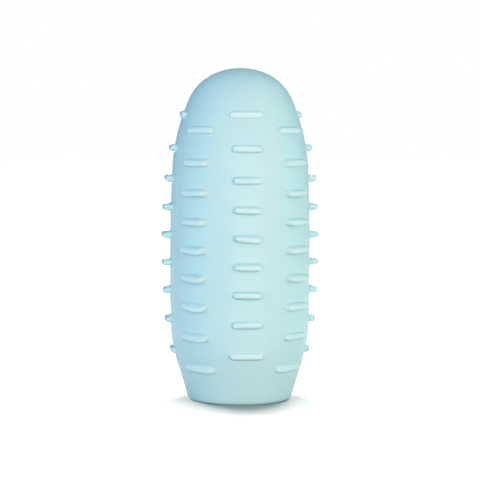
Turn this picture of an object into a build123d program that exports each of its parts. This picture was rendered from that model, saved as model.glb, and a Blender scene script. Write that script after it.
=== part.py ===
"""Finned squeeze toy: a moulded silicone skin round a gel filling, closed by a stopper.

Millimetres. +Z is up, and the origin is the centre of the flat foot.
"""

import os

from build123d import *

os.makedirs("parts", exist_ok=True)

# Overall sizes.
height = 109.6  # foot to the top of the dome
body_radius = 23.3  # at the barrel's widest

# Outline of the skin, from the top down. Each "inset" is counted inwards from body_radius.
dome_inset = 1.3  # the dome is part of a sphere this much smaller than the barrel
dome_slope = 22.0  # degrees that the outline slopes down where the dome ends
brow_inset = 7.0  # the brow, below the dome, is bent to a radius this much smaller than the barrel
brow_slope = 66.0  # degrees that the outline slopes down where the brow ends
shoulder_inset, shoulder_drop = 0.7, 33.6  # the shoulder's end, counted down from the top
hip_inset, hip_height = 0.15, 24.5
knee_inset, knee_height = 2.0, 13.5
foot_inset = 6.2  # the foot's edge before it is rounded
foot_round = 1.8

# Skin.
wall = 3.0
foot_wall = 4.5
crown_cut = height - 12.6  # the skin is cut here, so that the crown can move
filling_gap = 0.3  # between the skin and the filling

# Filling hole and its stopper.
hole_radius = 3.5
seat_radius = 6.0  # counterbore for the stopper's head
seat_depth = 2.0
plug_glue_gap = 0.05  # all round the stopper
plug_recess = 0.2  # the head stops this far above the foot
plug_chamfer = 0.3

# Fins: columns round the barrel, with every second column a little lower.
columns = 8
rows = 9
stagger = 0.45  # how far every second column is shifted down, in steps from row to row
top_row_drop = 15.3  # the first column's top row, counted down from the top
bottom_row_height = 16.7  # the first column's lowest row
row_spread = 0.0047  # how much wider the steps become towards both ends
row_lean = 0.048  # how far the end rows lie above an even pattern, by step squared
fin_height = 2.95  # how far the tallest fin stands out of the skin
fin_fall = 0.12  # how much shorter fins are away from the tallest, by step squared
tallest_fin_step = -0.1
fin_tip_width = 8.4
fin_widening = 0.035  # how much wider fins are towards both ends, by step cubed
fin_flare = 1.2  # how much wider a fin is at its root than at its tip
fin_thickness = 2.2
fin_corner = 2.0
fin_edge_round = 0.95
fin_root_depth = 2.0  # a fin starts this far inside the skin's surface

touch = 0.01  # edges nearer than this lie in one plane
on_base = (Align.CENTER, Align.CENTER, Align.MIN)  # a cylinder that stands on its place


def body_section(inset):
    """The closed vertical section through the axis, inside the skin's surface by inset."""
    dome = JernArc((0, height), (1, 0), body_radius - dome_inset, -dome_slope)
    brow = JernArc(dome @ 1, dome % 1, body_radius - brow_inset, dome_slope - brow_slope)
    shoulder_end = (body_radius - shoulder_inset, height - shoulder_drop)
    shoulder = TangentArc(brow @ 1, shoulder_end, tangent=brow % 1)
    hip_end = (body_radius - hip_inset, hip_height)
    barrel = TangentArc(shoulder_end, hip_end, tangent=shoulder % 1)
    knee_end = (body_radius - knee_inset, knee_height)
    knee = TangentArc(hip_end, knee_end, tangent=barrel % 1)
    foot_edge = (body_radius - foot_inset, 0)
    side = Line(knee_end, foot_edge)
    foot = Line(foot_edge, (0, 0))
    axis = Line((0, 0), (0, height))
    half = make_face([dome, brow, shoulder, barrel, knee, side, foot, axis])
    half = fillet(half.vertices().sort_by_distance(foot_edge)[0], foot_round)
    whole = half + mirror(half, about=Plane.YZ)
    return offset(whole, amount=-inset) if inset else whole


def turned(section, floor, ceiling):
    """The solid made by turning the part of a section between two heights about the axis."""
    kept = Rectangle(body_radius * 2, ceiling - floor, align=(Align.MIN, Align.MIN))
    half = section & (Pos(0, floor) * kept)
    return revolve(Plane.XZ * half, axis=Axis.Z)


def surface_radius(section, level):
    """The skin's radius at a height."""
    return (Line((0, level), (body_radius * 2, level)) & section).length


def row_level(step):
    """The height of the row that lies this many steps above the first column's middle row."""
    last = (rows - 1) / 2
    top, bottom = height - top_row_drop, bottom_row_height
    pitch = (top - bottom) / (2 * last * (1 + row_spread * last**2))
    middle = (top + bottom) / 2 - row_lean * last**2
    return middle + pitch * step * (1 + row_spread * step**2) + row_lean * step**2


def fin(section, step):
    """One fin that points along +X: a flat tab with round corners and a round edge."""
    level = row_level(step)
    surface = surface_radius(section, level)
    tip = surface + fin_height - fin_fall * (step - tallest_fin_step) ** 2
    root = surface - fin_root_depth
    tip_half = (fin_tip_width + fin_widening * abs(step) ** 3) / 2
    root_half = tip_half + fin_flare / 2
    outline = Polygon((root, -root_half), (tip, -tip_half), (tip, tip_half), (root, root_half), align=None)
    outline = fillet(outline.vertices().group_by(Axis.X)[-1], fin_corner)
    tab = extrude(Pos(0, 0, level) * outline, amount=fin_thickness / 2, both=True)
    rims = [edge for edge in tab.edges().filter_by(Axis.Z, reverse=True) if edge.center().X > root + touch]
    return fillet(rims, fin_edge_round)


def all_fins(section):
    """Every fin of the skin, with every second column shifted down."""
    fins = []
    for row in range(rows):
        for shift, first_column in ((0.0, 0), (stagger, 1)):
            step = (rows - 1) / 2 - row - shift
            pattern = fin(section, step)
            for column in range(first_column, columns, 2):
                fins.append(Rot(0, 0, column * 360 / columns) * pattern)
    return fins


def filling_hole():
    """The hole through the foot, with the seat for the stopper's head."""
    hole = Cylinder(hole_radius, foot_wall, align=on_base)
    return hole + Cylinder(seat_radius, seat_depth, align=on_base)


def skin_body():
    """The moulded skin below the cut: barrel, foot and fins in one."""
    section = body_section(0)
    solid = turned(section, 0, crown_cut).fuse(*all_fins(section))
    cavity = turned(body_section(wall), foot_wall, crown_cut)
    return solid - cavity - filling_hole()


def skin_crown():
    """The moulded skin above the cut: the plain dome."""
    return turned(body_section(0) - body_section(wall), crown_cut, height)


def gel_filling():
    """The soft filling, a little clear of the skin all round."""
    return turned(body_section(wall + filling_gap), foot_wall + filling_gap, height)


def fill_plug():
    """The stopper, whose head sits in the seat under the foot."""
    head = Cylinder(seat_radius - plug_glue_gap, seat_depth - plug_recess, align=on_base)
    stem = Cylinder(hole_radius - plug_glue_gap, foot_wall - seat_depth, align=on_base)
    plug = Pos(0, 0, plug_recess) * head + Pos(0, 0, seat_depth) * stem
    ends = [plug.faces().sort_by(Axis.Z)[0], plug.faces().sort_by(Axis.Z)[-1]]
    return chamfer([edge for face in ends for edge in face.edges()], plug_chamfer)


export_step(skin_body(), "parts/skin_body.step")
export_step(skin_crown(), "parts/skin_crown.step")
export_step(gel_filling(), "parts/gel_filling.step")
export_step(fill_plug(), "parts/fill_plug.step")
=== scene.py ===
"""A finned squeeze toy on a white table: its skin, gel and stopper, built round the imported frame.

Everything is in metres and in the frame's own axes: +Z up, the origin at the centre of the toy's flat
foot, and -Y towards the viewer.
"""

import logging
import math
from dataclasses import dataclass, field
from enum import Enum

import bmesh
import bpy
from mathutils import Euler, Matrix, Vector
from mathutils.bvhtree import BVHTree


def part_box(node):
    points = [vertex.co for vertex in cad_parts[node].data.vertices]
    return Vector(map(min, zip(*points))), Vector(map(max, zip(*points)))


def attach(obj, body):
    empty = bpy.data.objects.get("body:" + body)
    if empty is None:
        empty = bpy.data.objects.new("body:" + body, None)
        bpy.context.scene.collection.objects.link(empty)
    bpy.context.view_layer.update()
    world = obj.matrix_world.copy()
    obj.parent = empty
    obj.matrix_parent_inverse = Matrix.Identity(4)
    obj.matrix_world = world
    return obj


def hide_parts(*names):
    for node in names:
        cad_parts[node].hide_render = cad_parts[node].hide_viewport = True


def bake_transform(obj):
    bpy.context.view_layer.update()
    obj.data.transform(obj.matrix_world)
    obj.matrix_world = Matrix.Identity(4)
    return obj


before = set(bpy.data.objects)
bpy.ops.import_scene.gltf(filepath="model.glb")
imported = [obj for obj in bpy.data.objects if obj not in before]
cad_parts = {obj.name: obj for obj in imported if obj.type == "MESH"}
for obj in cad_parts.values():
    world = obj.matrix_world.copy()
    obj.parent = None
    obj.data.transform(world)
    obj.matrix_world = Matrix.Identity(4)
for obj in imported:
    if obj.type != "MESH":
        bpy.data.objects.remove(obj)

MM = 0.001
BASE_BODY = "barrel"
AXIS = Vector((0, 0, 1))
FAR = 1.0  # well outside the toy
WELD = 0.001 * MM  # points nearer than this are one point
log = logging.getLogger("squeeze_toy")


class Column(Enum):
    """The two kinds of fin column, by how many row steps each starts below the top row."""

    LEVEL = 0.0
    STAGGERED = 0.45


class Side(Enum):
    """Which side of a wall a probe looks for."""

    OUTSIDE = "outside"
    INSIDE = "inside"


class Target(Enum):
    """What a studio light falls on."""

    TABLE = "INCLUDE"
    TOY = "EXCLUDE"


def linear(colour: str) -> tuple[float, float, float, float]:
    """Turns an sRGB hex colour into a linear one.

    Args:
        colour: six hex digits after a hash sign.

    Returns:
        Linear red, green and blue, and an alpha of 1.
    """
    parts = [int(colour[i : i + 2], 16) / 255 for i in (1, 3, 5)]
    lit = [c / 12.92 if c <= 0.04045 else ((c + 0.055) / 1.055) ** 2.4 for c in parts]
    return (lit[0], lit[1], lit[2], 1.0)


def add_node(
    tree: bpy.types.NodeTree,
    kind: str,
    inputs: dict[str | int, object] | None = None,
    **settings: object,
) -> bpy.types.Node:
    """Adds one node to a tree.

    Args:
        tree: the material's or world's node tree.
        kind: the node's type.
        inputs: each input's name or number, with its value or the output socket that feeds it.
        settings: the node's own properties.

    Returns:
        The new node.
    """
    node = tree.nodes.new(kind)
    for name, value in settings.items():
        setattr(node, name, value)
    for name, value in (inputs or {}).items():
        if isinstance(value, bpy.types.NodeSocket):
            tree.links.new(value, node.inputs[name])
        else:
            node.inputs[name].default_value = value
    return node


def add_mix(
    tree: bpy.types.NodeTree, share: bpy.types.NodeSocket, first: object, second: object
) -> bpy.types.NodeSocket:
    """Mixes two colours.

    Args:
        tree: the material's node tree.
        share: the output that says how much of the second colour is taken.
        first: the colour, or the output that holds it, where share is 0.
        second: the same where share is 1.

    Returns:
        The output that holds the mixed colour.
    """
    # The colour sockets go by number, because others share their names.
    inputs = {"Factor": share, 6: first, 7: second}
    return add_node(tree, "ShaderNodeMix", inputs, data_type="RGBA").outputs[2]


def add_surface(tree: bpy.types.NodeTree, inputs: dict[str | int, object]) -> None:
    """Ends a material's tree in one shader with these inputs."""
    shader = add_node(tree, "ShaderNodeBsdfPrincipled", inputs)
    add_node(tree, "ShaderNodeOutputMaterial", {"Surface": shader.outputs["BSDF"]})


def new_material(name: str) -> bpy.types.Material:
    """Returns an empty node material of that name."""
    material = bpy.data.materials.new(name)
    material.use_nodes = True
    material.node_tree.nodes.clear()
    return material


@dataclass(frozen=True)
class Clouds:
    """A cloudy pattern: how large it is, in metres, and how much finer detail lies in it."""

    size: float
    detail: float
    roughness: float

    def add(self, tree: bpy.types.NodeTree, place: bpy.types.NodeSocket) -> bpy.types.NodeSocket:
        """Adds the pattern to a material.

        Args:
            tree: the material's node tree.
            place: the output that says where a point of the piece lies.

        Returns:
            The output that holds the pattern, from 0 to 1.
        """
        inputs = {"Vector": place, "Scale": 1 / self.size, "Detail": self.detail, "Roughness": self.roughness}
        return add_node(tree, "ShaderNodeTexNoise", inputs).outputs["Fac"]


@dataclass(frozen=True)
class Relief:
    """Fine relief in a surface: how deep it is, in metres, and how much of it shows."""

    depth: float
    strength: float = 1.0

    def add(
        self,
        tree: bpy.types.NodeTree,
        pattern: bpy.types.NodeSocket,
        under: bpy.types.NodeSocket | None = None,
    ) -> bpy.types.NodeSocket:
        """Adds the relief to a material.

        Args:
            tree: the material's node tree.
            pattern: the output that holds the relief's pattern.
            under: the output of the coarser relief that this one lies on.

        Returns:
            The output that holds the relief's normals.
        """
        inputs = {"Height": pattern, "Distance": self.depth, "Strength": self.strength}
        if under is not None:
            inputs["Normal"] = under
        return add_node(tree, "ShaderNodeBump", inputs).outputs["Normal"]


@dataclass(frozen=True)
class MouldedSilicone:
    """Translucent platinum silicone, cast in a bead-blasted mould.

    The blasted mould leaves a fine matte grain, so highlights are broad and soft. Light goes a few
    millimetres into the milky rubber, which fills the shadows under the fins. The fins' tips are paler than
    the wall by a painted glow: a lighter colour, mixed in towards each tip, stands in for light through the
    thin rubber.
    """

    name: str = "blasted_silicone_aqua"
    wall_colour: str = "#C3E5EA"
    cloud_colour: str = "#C9E8EB"
    # A painted glow: the paler colour of the fins' tips, standing in for light through the thin rubber.
    painted_fin_glow_colour: str = "#D2EDF0"
    clouds: Clouds = Clouds(size=14 * MM, detail=2.0, roughness=0.45)
    waves: Clouds = Clouds(size=9 * MM, detail=1.0, roughness=0.4)
    wave_relief: Relief = Relief(depth=0.03 * MM)
    # The real grain is about 0.05 mm. It is drawn coarse enough to show.
    grain: Clouds = Clouds(size=0.45 * MM, detail=3.0, roughness=0.6)
    grain_relief: Relief = Relief(depth=0.006 * MM)
    roughness: tuple[float, float] = (0.42, 0.52)
    refraction: float = 1.41
    scatter_weight: float = 0.35
    scatter_depth: float = 2.2 * MM
    scatter_colour: tuple[float, float, float] = (0.75, 1.0, 1.15)
    sheen: float = 0.08
    sheen_roughness: float = 0.4

    def make(self, fin_attribute: str) -> bpy.types.Material:
        """Builds the material.

        Args:
            fin_attribute: the mesh attribute that is 1 at the fins' tips and 0 on the wall, which sets how
                much painted glow a point takes.

        Returns:
            The material.
        """
        material = new_material(self.name)
        tree = material.node_tree
        place = add_node(tree, "ShaderNodeTexCoord").outputs["Object"]
        clouds = self.clouds.add(tree, place)
        wall = add_mix(tree, clouds, linear(self.wall_colour), linear(self.cloud_colour))
        fins = add_node(tree, "ShaderNodeAttribute", attribute_name=fin_attribute).outputs["Fac"]
        wavy = self.wave_relief.add(tree, self.waves.add(tree, place))
        low, high = self.roughness
        rough = add_node(tree, "ShaderNodeMapRange", {"Value": clouds, "To Min": low, "To Max": high})
        surface = {
            # Painted glow: the fins' tips take a paler colour that stands in for light passing through the
            # thin rubber.
            "Base Color": add_mix(tree, fins, wall, linear(self.painted_fin_glow_colour)),
            "Roughness": rough.outputs["Result"],
            "Normal": self.grain_relief.add(tree, self.grain.add(tree, place), wavy),
            "IOR": self.refraction,
            "Subsurface Weight": self.scatter_weight,
            "Subsurface Scale": self.scatter_depth,
            "Subsurface Radius": self.scatter_colour,
            "Sheen Weight": self.sheen,
            "Sheen Roughness": self.sheen_roughness,
        }
        add_surface(tree, surface)
        return material


@dataclass(frozen=True)
class SoftGel:
    """Clear polyurethane gel, poured in and set: wet-looking, with small bubbles against the skin."""

    name: str = "poured_gel_clear"
    colour: str = "#CFEAF0"
    bubble_pitch: float = 4 * MM
    bubble_relief: Relief = Relief(depth=0.15 * MM, strength=0.6)
    roughness: float = 0.12
    refraction: float = 1.45
    clearness: float = 0.6

    def make(self) -> bpy.types.Material:
        """Returns the material."""
        material = new_material(self.name)
        tree = material.node_tree
        place = add_node(tree, "ShaderNodeTexCoord").outputs["Object"]
        spread = {"Vector": place, "Scale": 1 / self.bubble_pitch}
        bubbles = add_node(tree, "ShaderNodeTexVoronoi", spread, feature="SMOOTH_F1").outputs["Distance"]
        surface = {
            "Base Color": linear(self.colour),
            "Roughness": self.roughness,
            "IOR": self.refraction,
            "Transmission Weight": self.clearness,
            "Normal": self.bubble_relief.add(tree, bubbles),
        }
        add_surface(tree, surface)
        return material


@dataclass(frozen=True)
class StopperRubber:
    """Firmer silicone of the same colour family, pressed in a turned mould: matte, with faint rings."""

    name: str = "pressed_rubber_blue"
    colour: str = "#9CCBD8"
    ring_scale: float = 100.0  # a ring about every 3 mm
    ring_unevenness: float = 0.3
    ring_relief: Relief = Relief(depth=0.01 * MM, strength=0.8)
    roughness: float = 0.55
    refraction: float = 1.43
    scatter_weight: float = 0.15
    scatter_depth: float = 1.5 * MM

    def make(self) -> bpy.types.Material:
        """Returns the material."""
        material = new_material(self.name)
        tree = material.node_tree
        place = add_node(tree, "ShaderNodeTexCoord").outputs["Object"]
        spread = {"Vector": place, "Scale": self.ring_scale, "Distortion": self.ring_unevenness}
        rings = add_node(tree, "ShaderNodeTexWave", spread, wave_type="RINGS", rings_direction="Z")
        surface = {
            "Base Color": linear(self.colour),
            "Roughness": self.roughness,
            "IOR": self.refraction,
            "Subsurface Weight": self.scatter_weight,
            "Subsurface Scale": self.scatter_depth,
            "Normal": self.ring_relief.add(tree, rings.outputs["Fac"]),
        }
        add_surface(tree, surface)
        return material


@dataclass(frozen=True)
class WhiteTable:
    """A lit white acrylic table with a painted glow: plain white except where the toy shades it, and brighter
    far away.
    The shade round the toy is partly cast by the table's lights and partly painted, by an emission that is
    nil near the toy and rises with distance from it.
    """

    name: str = "white_acrylic_painted_glow"
    colour: str = "#C6C8C8"
    roughness: float = 0.8
    gloss: float = 0.1
    painted_glow_near: float = 0.0
    painted_glow_far: float = 0.9
    near: float = 0.03
    far: float = 0.38

    def make(self) -> bpy.types.Material:
        """Returns the material."""
        material = new_material(self.name)
        tree = material.node_tree
        place = add_node(tree, "ShaderNodeTexCoord").outputs["Object"]
        # Painted glow: the table emits light that rises with distance from the middle of the toy's foot,
        # which paints the fall-off of the toy's shadow.
        distance = add_node(tree, "ShaderNodeVectorMath", {0: place}, operation="LENGTH").outputs["Value"]
        spread = {
            "Value": distance,
            "From Min": self.near,
            "From Max": self.far,
            "To Min": self.painted_glow_near,
            "To Max": self.painted_glow_far,
        }
        surface = {
            "Base Color": linear(self.colour),
            "Roughness": self.roughness,
            "Specular IOR Level": self.gloss,
            "Emission Color": linear("#FFFFFF"),
            "Emission Strength": add_node(tree, "ShaderNodeMapRange", spread).outputs["Result"],
        }
        add_surface(tree, surface)
        return material


class Probe:
    """Reads the true surfaces of CAD nodes, so that a piece is built on them and not on copied sizes."""

    def __init__(self, nodes: tuple[str, ...], azimuth: float) -> None:
        """Prepares to probe the named nodes in one vertical half-plane.

        Args:
            nodes: the CAD nodes to read.
            azimuth: the half-plane's angle about the axis, in radians.
        """
        meshes = bmesh.new()
        for node in nodes:
            meshes.from_mesh(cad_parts[node].data)
        self.surfaces = BVHTree.FromBMesh(meshes)
        meshes.free()
        self.outwards = Vector((math.cos(azimuth), math.sin(azimuth), 0))

    def radius(self, level: float, side: Side = Side.OUTSIDE) -> float:
        """Returns the surface's distance from the axis at a height."""
        axis_point = AXIS * level
        if side is Side.OUTSIDE:
            hit = self.surfaces.ray_cast(axis_point + self.outwards * FAR, -self.outwards)[0]
        else:
            hit = self.surfaces.ray_cast(axis_point, self.outwards)[0]
        return (hit - axis_point).length

    def dome_point(self, centre: float, tilt: float, side: Side = Side.OUTSIDE) -> tuple[float, float]:
        """Finds the surface in the direction that leans from the axis by tilt.

        Args:
            centre: the height on the axis to look from.
            tilt: the direction's angle from straight up, in radians.
            side: which side of the wall to find.

        Returns:
            The point's distance from the axis and its height.
        """
        ray = AXIS * math.cos(tilt) + self.outwards * math.sin(tilt)
        start = AXIS * centre
        if side is Side.OUTSIDE:
            hit = self.surfaces.ray_cast(start + ray * FAR, -ray)[0]
        else:
            hit = self.surfaces.ray_cast(start, ray)[0]
        return (hit.dot(self.outwards), hit.z)


def spin_profile(profile: list[tuple[float, float]], steps: int) -> bmesh.types.BMesh:
    """Turns a line of points about the vertical axis into a closed surface.

    Args:
        profile: distances from the axis and heights, in order along the line.
        steps: how many segments the full turn has, the first of which is centred on +X.

    Returns:
        A new bmesh with its seam and poles merged and its faces pointing outwards.
    """
    mesh = bmesh.new()
    start = math.pi / steps
    line = [mesh.verts.new((r * math.cos(start), r * math.sin(start), z)) for r, z in profile]
    edges = [mesh.edges.new(pair) for pair in zip(line, line[1:])]
    bmesh.ops.spin(
        mesh, geom=line + edges, axis=AXIS, cent=(0, 0, 0), steps=steps, angle=math.tau, use_merge=True
    )
    bmesh.ops.remove_doubles(mesh, verts=mesh.verts[:], dist=WELD)
    bmesh.ops.recalc_face_normals(mesh, faces=mesh.faces[:])
    return mesh


def supported(
    start: tuple[float, float], corners: list[tuple[float, float, float]], end: tuple[float, float]
) -> list[tuple[float, float]]:
    """Puts a point before and after each corner of a line, so that smoothing keeps the corner tight.

    Args:
        start: the point before the first corner, which isn't repeated.
        corners: each corner's place and how far its two extra points lie from it.
        end: the point after the last corner, which isn't repeated.

    Returns:
        The corners with their extra points.
    """
    stops = [Vector(start), *[Vector(corner[:2]) for corner in corners], Vector(end)]
    line = []
    for index, (_, _, reach) in enumerate(corners):
        before, here, after = stops[index : index + 3]
        line.append(tuple(here + (before - here).normalized() * reach))
        line.append(tuple(here))
        line.append(tuple(here + (after - here).normalized() * reach))
    return line


def finish_piece(
    mesh: bmesh.types.BMesh, name: str, material: bpy.types.Material, smoothing: int = 2
) -> bpy.types.Object:
    """Makes a shaded object of a bmesh and frees it.

    Args:
        mesh: the finished cage.
        name: the piece's name.
        material: its only material.
        smoothing: levels of subdivision.

    Returns:
        The new object, at the origin.
    """
    data = bpy.data.meshes.new(name)
    mesh.to_mesh(data)
    mesh.free()
    data.shade_smooth()
    data.materials.append(material)
    piece = bpy.data.objects.new(name, data)
    bpy.context.scene.collection.objects.link(piece)
    rounding = piece.modifiers.new("rounding", "SUBSURF")
    rounding.levels = smoothing
    rounding.render_levels = smoothing
    return piece


@dataclass(frozen=True)
class Bend:
    """How handling has bent the fins of one column: most at one row, and less and less away from it."""

    droop: float
    turn: float
    worst_step: float
    spread: float
    # How much more one half of a fin droops than the other, from -1 to 1. Above 0, it is the half to the
    # right of a viewer who faces the fin.
    skew: float = 0.0

    def at(self, step: float) -> tuple[float, float]:
        """Works out how far one fin is bent.

        Args:
            step: the fin's row.

        Returns:
            How far the middle of its tip droops, in metres, and its turn about the way it points, in radians.
        """
        share = math.exp(-(((step - self.worst_step) / self.spread) ** 2))
        return self.droop * share, math.radians(self.turn) * share


@dataclass(frozen=True)
class Unevenness:
    """Small differences from fin to fin, the same on every run, at rates that keep neighbours unlike."""

    most: float
    row_rate: float
    column_rate: float
    start: float = 0.0

    def at(self, column: int, step: float) -> float:
        """Returns the difference of the fin in that column and row."""
        return self.most * math.sin(self.row_rate * step + self.column_rate * column + self.start)


@dataclass
class Fin:
    """One soft tab of the skin: where it stands, how large it is, and how it happens to hang."""

    azimuth: float
    level: float
    tip_radius: float
    tip_half_width: float
    root_half_width: float
    sag: float
    tilt: float
    skew: float

    def directions(self) -> tuple[Vector, Vector]:
        """Returns the way that the fin points and the way along its width."""
        out = Vector((math.cos(self.azimuth), math.sin(self.azimuth), 0))
        return out, AXIS.cross(out)


@dataclass
class Skin:
    """The moulded silicone skin: a domed barrel on a flat foot, with its fins in one with the wall."""

    nodes: tuple[str, str] = ("skin_body", "skin_crown")
    segments: int = 48
    fin_segments: int = 3  # how many of them a fin's root takes up
    columns: int = 8
    rows: int = 9
    top_row_drop: float = 15.3 * MM
    bottom_row_height: float = 16.7 * MM
    row_spread: float = 0.0047
    row_lean: float = 0.048 * MM
    fin_height: float = 2.95 * MM
    fin_fall: float = 0.12 * MM
    tallest_fin_step: float = -0.1
    fin_tip_width: float = 8.4 * MM
    fin_widening: float = 0.035 * MM
    fin_flare: float = 1.2 * MM
    fin_root_thickness: float = 2.3 * MM
    fin_tip_thickness: float = 2.0 * MM
    fin_fillet: float = 0.45 * MM
    fin_corner: float = 0.35 * MM
    # How near a fin's ends the inner columns of its cage lie, which keeps the ends square.
    fin_squareness: float = 0.68
    # Points further out than this share of a root's half width belong to a fin's ends.
    fin_end_from: float = 0.7
    end_droop: float = 0.1
    # How far out each ring of a fin's cage lies, as a share of its height, and how much of its thickness is
    # left there.
    fin_rings: tuple[tuple[float, float], ...] = ((0.35, 1.0), (0.72, 1.0), (1.0, 0.62))
    dome_rings: int = 9
    side_levels: tuple[float, ...] = (6.6 * MM, 4.4 * MM, 2.6 * MM)
    foot_round: float = 2.2 * MM
    foot_wall: float = 4.5 * MM
    seat_radius: float = 6.0 * MM
    seat_depth: float = 2.0 * MM
    hole_radius: float = 3.5 * MM
    hole_round: float = 0.5 * MM
    inner_levels: tuple[float, ...] = (9 * MM, 18 * MM, 30 * MM, 45 * MM, 60 * MM, 74 * MM, 85 * MM)
    inner_dome_rings: int = 5
    # One for each column, starting at +X and turning towards the back.
    bends: tuple[Bend, ...] = (
        Bend(droop=-0.3 * MM, turn=0.0, worst_step=1.5, spread=1.0),
        Bend(droop=0.3 * MM, turn=-3.0, worst_step=0.5, spread=2.0),
        Bend(droop=0.4 * MM, turn=2.5, worst_step=-1.0, spread=1.6),
        Bend(droop=0.3 * MM, turn=2.0, worst_step=1.0, spread=2.2),
        Bend(droop=0.5 * MM, turn=0.0, worst_step=-2.0, spread=1.5),
        Bend(droop=1.3 * MM, turn=-2.0, worst_step=-2.5, spread=2.5, skew=0.75),
        Bend(droop=0.5 * MM, turn=-6.5, worst_step=-0.1, spread=1.2),
        Bend(droop=0.4 * MM, turn=2.5, worst_step=-1.0, spread=3.0, skew=-0.4),
    )
    sag_unevenness: Unevenness = Unevenness(most=0.12 * MM, row_rate=2.1, column_rate=1.7)
    turn_unevenness: Unevenness = Unevenness(
        most=math.radians(1.4), row_rate=3.7, column_rate=-2.3, start=0.8
    )
    fin_attribute: str = "fin_share"
    finish: MouldedSilicone = field(default_factory=MouldedSilicone)

    def __post_init__(self) -> None:
        """Reads the height and the plain wall between two columns from the frame."""
        self.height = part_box(self.nodes[1])[1].z
        self.probe = Probe(self.nodes, math.pi / self.columns)

    def row_level(self, step: float) -> float:
        """Returns the height of the row that lies that many steps above the middle row."""
        last = (self.rows - 1) / 2
        top, bottom = self.height - self.top_row_drop, self.bottom_row_height
        pitch = (top - bottom) / (2 * last * (1 + self.row_spread * last**2))
        middle = (top + bottom) / 2 - self.row_lean * last**2
        return middle + pitch * step * (1 + self.row_spread * step**2) + self.row_lean * step**2

    def steps(self) -> list[float]:
        """Returns every row of both kinds of column, from the top down."""
        first = (self.rows - 1) / 2
        return [first - row - kind.value for row in range(self.rows) for kind in Column]

    def hang(self, column: int, step: float) -> tuple[float, float]:
        """Works out how a soft fin happens to hang, the same on every run.

        Args:
            column: the fin's column.
            step: the fin's row.

        Returns:
            The tip's sag in metres and its turn about the way it points, in radians.
        """
        droop, turn = self.bends[column].at(step)
        return droop + self.sag_unevenness.at(column, step), turn + self.turn_unevenness.at(column, step)

    def fins(self) -> list[Fin]:
        """Returns every fin of the skin."""
        made = []
        for row in range(self.rows):
            for column in range(self.columns):
                kind = Column.STAGGERED if column % 2 else Column.LEVEL
                step = (self.rows - 1) / 2 - row - kind.value
                level = self.row_level(step)
                height = self.fin_height - self.fin_fall * (step - self.tallest_fin_step) ** 2
                half_width = (self.fin_tip_width + self.fin_widening * abs(step) ** 3) / 2
                sag, tilt = self.hang(column, step)
                made.append(
                    Fin(
                        azimuth=column * math.tau / self.columns,
                        level=level,
                        tip_radius=self.probe.radius(level) + height,
                        tip_half_width=half_width,
                        root_half_width=half_width + self.fin_flare / 2,
                        sag=sag,
                        tilt=tilt,
                        skew=self.bends[column].skew,
                    )
                )
        return made

    def outer_profile(self) -> list[tuple[float, float]]:
        """Returns the outside of the wall, from the top of the dome down to just above the foot."""
        half_band = self.fin_root_thickness / 2 + self.fin_fillet
        centre = self.row_level(self.steps()[0])
        last_tilt = math.atan2(self.probe.radius(centre + half_band), half_band)
        line = [(0.0, self.height)]
        for ring in range(1, self.dome_rings + 1):
            line.append(self.probe.dome_point(centre, last_tilt * ring / (self.dome_rings + 1)))
        for step in self.steps():
            level = self.row_level(step)
            for edge in (level + half_band, level - half_band):
                line.append((self.probe.radius(edge), edge))
        return line + [(self.probe.radius(level), level) for level in self.side_levels]

    def foot_profile(self) -> list[tuple[float, float]]:
        """Returns the foot, from its edge in to the filling hole and out again along the cavity's floor."""
        above, below = self.side_levels[-2:]
        lean = (self.probe.radius(above) - self.probe.radius(below)) / (above - below)
        edge = self.probe.radius(below) - lean * below
        rim = self.probe.radius(self.foot_wall + self.foot_round, Side.INSIDE)
        start = (self.probe.radius(below), below)
        corners = [
            (edge, 0.0, self.foot_round),
            (self.seat_radius, 0.0, self.hole_round),
            (self.seat_radius, self.seat_depth, self.hole_round),
            (self.hole_radius, self.seat_depth, self.hole_round),
            (self.hole_radius, self.foot_wall, self.hole_round),
            (rim, self.foot_wall, self.foot_round),
        ]
        end = (self.probe.radius(self.inner_levels[0], Side.INSIDE), self.inner_levels[0])
        return supported(start, corners, end)

    def inner_profile(self) -> list[tuple[float, float]]:
        """Returns the cavity's wall, from above its floor up to the inside of the dome."""
        line = [(self.probe.radius(level, Side.INSIDE), level) for level in self.inner_levels]
        centre = self.inner_levels[-1]
        for ring in range(self.inner_dome_rings, 0, -1):
            tilt = math.pi / 2 * ring / (self.inner_dome_rings + 1)
            line.append(self.probe.dome_point(centre, tilt, Side.INSIDE))
        return line + [(0.0, self.probe.dome_point(centre, 0.0, Side.INSIDE)[1])]

    def fin_point(self, fin: Fin, root: Vector, ring: float, girth: float) -> Vector:
        """Works out where a point of a fin's root goes when it is drawn out.

        Args:
            fin: the fin.
            root: the point on the wall.
            ring: how far up the fin it goes, from 0 to 1.
            girth: how much of the fin's thickness is left there.

        Returns:
            The drawn-out point.
        """
        out, along = fin.directions()
        offset = root.dot(along)
        outermost = abs(offset) > self.fin_end_from * fin.root_half_width
        half_width = fin.root_half_width + (fin.tip_half_width - fin.root_half_width) * ring
        across = math.copysign(half_width * (1.0 if outermost else self.fin_squareness), offset)
        tip = fin.tip_radius - (self.fin_corner if outermost else 0.0)
        deep = root.dot(out) + (tip - root.dot(out)) * ring
        thickness = self.fin_root_thickness + (self.fin_tip_thickness - self.fin_root_thickness) * ring
        above = math.copysign(thickness / 2 * girth, root.z - fin.level)
        share = self.end_droop if outermost else 1.0
        if fin.skew * offset < 0:
            share *= 1 - abs(fin.skew)
        droop = fin.sag * share
        hanging = ring * across * math.tan(fin.tilt) - ring**2 * droop
        return out * deep + along * across + AXIS * (fin.level + above + hanging)

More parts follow.
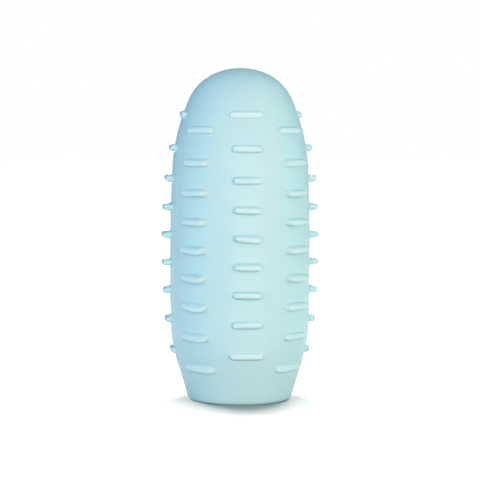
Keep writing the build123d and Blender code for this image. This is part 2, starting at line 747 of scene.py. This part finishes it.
    def raise_fin(self, mesh: bmesh.types.BMesh, fin: Fin, share: bmesh.types.BMLayerItem) -> None:
        """Draws one fin out of the wall.

        Args:
            mesh: the wall's cage, whose bands lie where the fins' roots are.
            fin: the fin to raise.
            share: the layer that holds how far up a fin each point lies.
        """
        out, along = fin.directions()
        half_band = self.fin_root_thickness / 2 + self.fin_fillet
        half_turn = self.fin_segments / 2 * math.tau / self.segments

        def is_root(face: bmesh.types.BMFace) -> bool:
            """Says whether a face of the wall is where the fin grows."""
            middle = face.calc_center_median()
            turn = abs(math.atan2(middle.dot(along), middle.dot(out)))
            outside = face.normal.dot(middle) > 0
            return outside and turn < half_turn and abs(middle.z - fin.level) < half_band / 2

        root = [face for face in mesh.faces if is_root(face)]
        corners = {vert for face in root for vert in face.verts}
        widest = max(vert.co.dot(along) for vert in corners)
        for vert in corners:
            across = vert.co.dot(along) * (fin.root_half_width + self.fin_fillet) / widest
            deep = math.sqrt(vert.co.x**2 + vert.co.y**2 - across**2)
            vert.co = out * deep + along * across + AXIS * vert.co.z
        bmesh.ops.inset_region(
            mesh, faces=root, thickness=self.fin_fillet, use_boundary=True, use_even_offset=True
        )
        drawn = []
        for ring, girth in self.fin_rings:
            made = bmesh.ops.extrude_face_region(mesh, geom=root)["geom"]
            bmesh.ops.delete(mesh, geom=root, context="FACES")
            root = [item for item in made if isinstance(item, bmesh.types.BMFace)]
            drawn.append((ring, girth, [item for item in made if isinstance(item, bmesh.types.BMVert)]))
        for ring, girth, verts in drawn:
            for vert in verts:
                vert.co = self.fin_point(fin, vert.co, ring, girth)
                vert[share] = ring

    def build(self) -> bpy.types.Object:
        """Returns the finished skin."""
        foot = self.foot_profile()
        mesh = spin_profile(self.outer_profile() + foot + self.inner_profile(), self.segments)
        share = mesh.verts.layers.float.new(self.fin_attribute)
        for fin in self.fins():
            self.raise_fin(mesh, fin, share)
        skin = finish_piece(mesh, "finned_skin", self.finish.make(self.fin_attribute))
        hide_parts(*self.nodes)
        return skin


@dataclass
class Filling:
    """The soft gel that fills the skin."""

    node: str = "gel_filling"
    segments: int = 32
    levels: int = 9
    dome_rings: int = 6
    edge_round: float = 1.5 * MM
    finish: SoftGel = field(default_factory=SoftGel)

    def build(self) -> bpy.types.Object:
        """Returns the filling."""
        low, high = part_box(self.node)
        probe = Probe((self.node,), math.pi / self.segments)
        side = low.z + self.edge_round
        centre = high.z - high.x
        rise = (centre - side) / self.levels
        line = [(0.0, high.z)]
        for ring in range(1, self.dome_rings + 1):
            line.append(probe.dome_point(centre, math.pi / 2 * ring / (self.dome_rings + 1)))
        for level in range(self.levels, 0, -1):
            line.append((probe.radius(side + rise * level), side + rise * level))
        rim = probe.radius(side)
        line += supported(line[-1], [(rim, low.z, self.edge_round)], (0.0, low.z)) + [(0.0, low.z)]
        filling = finish_piece(spin_profile(line, self.segments), "gel_core", self.finish.make())
        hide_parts(self.node)
        return filling


@dataclass
class Stopper:
    """The rubber stopper in the filling hole: a round head in its seat, with a pip left by the mould."""

    node: str = "fill_plug"
    segments: int = 32
    edge_round: float = 0.3 * MM
    dish_radius: float = 4.2 * MM
    dish_depth: float = 0.4 * MM
    pip_radius: float = 0.7 * MM
    stem_clearance: float = 0.05 * MM
    finish: StopperRubber = field(default_factory=StopperRubber)

    def build(self, skin: Skin) -> bpy.types.Object:
        """Makes the stopper.

        Args:
            skin: the skin whose hole it closes.

        Returns:
            The stopper.
        """
        low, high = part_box(self.node)
        stem = skin.hole_radius - self.stem_clearance
        dish = low.z + self.dish_depth
        near = self.edge_round
        corners = [
            (self.pip_radius, low.z, near / 2),
            (self.pip_radius, dish, near / 2),
            (self.dish_radius, dish, near / 2),
            (self.dish_radius, low.z, near),
            (high.x, low.z, near),
            (high.x, skin.seat_depth, near),
            (stem, skin.seat_depth, near),
            (stem, high.z, near),
        ]
        start, end = (0.0, low.z), (0.0, high.z)
        line = [start] + supported(start, corners, end) + [end]
        stopper = finish_piece(spin_profile(line, self.segments), "stopper", self.finish.make())
        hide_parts(self.node)
        return stopper


@dataclass(frozen=True)
class SoftBox:
    """A large square studio light with a diffuser, flagged off either the table or the toy."""

    name: str
    place: tuple[float, float, float]
    width: float
    watts: float
    colour: str
    target: Target = Target.TOY
    aim: tuple[float, float, float] = (0, 0, 0.055)

    def build(self, table: bpy.types.Object) -> None:
        """Adds the light to the scene.

        Args:
            table: the table, which the light either leaves out or lights alone.
        """
        data = bpy.data.lights.new(self.name, "AREA")
        data.size = self.width
        data.energy = self.watts
        data.color = linear(self.colour)[:3]
        lamp = bpy.data.objects.new(self.name, data)
        lamp.location = self.place
        lamp.rotation_euler = (Vector(self.aim) - Vector(self.place)).to_track_quat("-Z", "Y").to_euler()
        bpy.context.scene.collection.objects.link(lamp)
        flags = bpy.data.collections.new(f"{self.name}_flags")
        flags.objects.link(table)
        flags.collection_objects[0].light_linking.link_state = self.target.value
        lamp.light_linking.receiver_collection = flags


@dataclass(frozen=True)
class WhiteRoom:
    """The cool light of a large white room, dimmer behind the toy, which darkens the toy's edges."""

    colour: str = "#DCFFFB"
    front_strength: float = 0.42
    back_strength: float = 0.12
    # How far to either side of straight sideways the strength changes from one to the other.
    changeover: float = 0.3

    def build(self) -> None:
        """Lights the room, and shows it as plain white behind the toy."""
        world = bpy.data.worlds.new("white_room")
        world.use_nodes = True
        tree = world.node_tree
        tree.nodes.clear()
        seen = add_node(tree, "ShaderNodeLightPath").outputs["Is Camera Ray"]
        direction = add_node(tree, "ShaderNodeTexCoord").outputs["Generated"]
        towards_back = add_node(tree, "ShaderNodeSeparateXYZ", {"Vector": direction}).outputs["Y"]
        spread = {
            "Value": towards_back,
            "From Min": -self.changeover,
            "From Max": self.changeover,
            "To Min": self.front_strength,
            "To Max": self.back_strength,
        }
        strength = add_node(tree, "ShaderNodeMapRange", spread).outputs["Result"]
        cool = {"Color": linear(self.colour), "Strength": strength}
        room = add_node(tree, "ShaderNodeBackground", cool).outputs["Background"]
        white = {"Color": linear("#FFFFFF"), "Strength": 1.0}
        plain = add_node(tree, "ShaderNodeBackground", white).outputs["Background"]
        mix = add_node(tree, "ShaderNodeMixShader", {0: seen, 1: room, 2: plain})
        add_node(tree, "ShaderNodeOutputWorld", {"Surface": mix.outputs["Shader"]})
        bpy.context.scene.world = world


@dataclass
class Studio:
    """The table, the room's light, the soft boxes and the camera."""

    table_width: float = 6.0
    camera_distance: float = 0.625
    camera_level: float = 0.0970
    camera_azimuth: float = -6.0
    camera_drop: float = 4.05
    camera_roll: float = 0.2
    camera_lens: float = 141.65
    camera_near: float = 0.05
    room: WhiteRoom = field(default_factory=WhiteRoom)
    boxes: tuple[SoftBox, ...] = (
        SoftBox("table_box", (0.0, 0.12, 0.6), 0.4, 7.0, "#FFFBF9", Target.TABLE),
        SoftBox("table_left_box", (-0.38, 0.48, 0.42), 0.3, 8.0, "#FFFBF9", Target.TABLE),
        SoftBox("table_right_box", (0.38, 0.48, 0.42), 0.3, 8.0, "#FFFBF9", Target.TABLE),
        SoftBox("left_box", (-0.65, -0.05, 0.12), 0.5, 1.32, "#73C8FF"),
        SoftBox("left_front_box", (-0.45, -0.5, 0.15), 0.4, 1.30, "#FFCADE"),
        SoftBox("front_box", (0.05, -0.75, 0.12), 0.4, 2.69, "#E5FFED"),
        SoftBox("right_front_box", (0.45, -0.5, 0.15), 0.4, 1.72, "#FF93A7"),
        SoftBox("right_box", (0.65, -0.05, 0.12), 0.5, 1.17, "#74FFFA"),
        SoftBox("top_left_box", (-0.27, 0.13, 0.6), 0.15, 0.44, "#44AEFF"),
        SoftBox("top_right_box", (0.3, 0.07, 0.57), 0.15, 0.42, "#B5EBFF"),
        SoftBox("back_box", (0.13, 1.2, 0.15), 0.2, 5.0, "#FFF0E6"),
    )

    def build_table(self) -> bpy.types.Object:
        """Lays the white table under the toy and returns it."""
        mesh = bmesh.new()
        bmesh.ops.create_grid(mesh, x_segments=2, y_segments=2, size=self.table_width / 2)
        data = bpy.data.meshes.new("table_top")
        mesh.to_mesh(data)
        mesh.free()
        data.materials.append(WhiteTable().make())
        table = bpy.data.objects.new("table_top", data)
        bpy.context.scene.collection.objects.link(table)
        # The table is lit far more than the toy and carries a painted glow, so it is kept from lighting the
        # toy in turn.
        table.visible_diffuse = False
        return table

    def build_camera(self) -> None:
        """Sets up the long lens that looks slightly down on the toy."""
        data = bpy.data.cameras.new("long_lens")
        data.lens = self.camera_lens
        data.clip_start = self.camera_near
        camera = bpy.data.objects.new("long_lens", data)
        turn = math.radians(self.camera_azimuth)
        camera.location = (
            self.camera_distance * math.sin(turn),
            -self.camera_distance * math.cos(turn),
            self.camera_level,
        )
        look = Euler((math.radians(90 - self.camera_drop), 0, turn)).to_matrix()
        camera.rotation_euler = (look @ Matrix.Rotation(math.radians(self.camera_roll), 3, "Z")).to_euler()
        bpy.context.scene.collection.objects.link(camera)
        bpy.context.scene.camera = camera

    def build(self) -> None:
        """Builds the whole studio."""
        bpy.context.scene.view_settings.view_transform = "Standard"
        table = self.build_table()
        self.room.build()
        self.build_camera()
        for box in self.boxes:
            box.build(table)


@dataclass(frozen=True)
class Press:
    """Where the soft toy would give when its crown is pressed: not at all at the foot, fully at the crown.
    Nothing reads these heights.
    """

    give_from: float = 14 * MM
    give_to: float = 104 * MM

    def follow(self, piece: bpy.types.Object) -> None:
        """Bakes a soft piece's placement into its mesh."""
        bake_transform(piece)


def main() -> None:
    """Builds the toy and its studio."""
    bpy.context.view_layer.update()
    Studio().build()
    press = Press()
    skin = Skin()
    for piece in (skin.build(), Filling().build()):
        press.follow(piece)
        log.info("%s: %d cage faces", piece.name, len(piece.data.polygons))
    stopper = Stopper().build(skin)
    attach(stopper, BASE_BODY)
    log.info("%s: %d cage faces", stopper.name, len(stopper.data.polygons))


if __name__ == "__main__":
    logging.basicConfig(level=logging.INFO)
    main()
